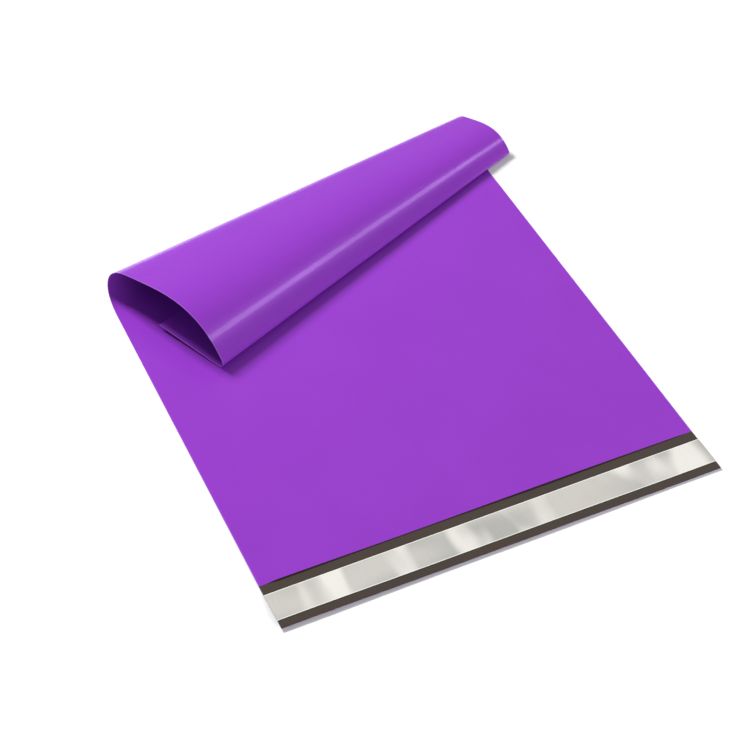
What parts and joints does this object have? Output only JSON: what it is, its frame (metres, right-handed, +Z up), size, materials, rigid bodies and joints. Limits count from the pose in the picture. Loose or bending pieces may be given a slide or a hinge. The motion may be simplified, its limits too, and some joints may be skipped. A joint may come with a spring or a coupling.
{
  "type": "poly mailer bag",
  "caption": "Purple film mailing bag lying flat, flap open with its release liner on, closed end rolled up and over onto itself.",
  "frame": {"origin": "on the ground, below the middle of the whole bag's box", "axes": "+X along the flap's edge from its left corner to its right corner, +Y from the flap towards the rolled end, +Z up"},
  "size_m": [0.408, 0.4782, 0.0445],
  "materials": {
    "film": "satin",
    "adhesive": "satin",
    "liner": "satin"
  },
  "bodies": {
    "root": {"bag_film": "film", "adhesive_strip": "adhesive", "release_liner": "liner"}
  },
  "joints": []
}
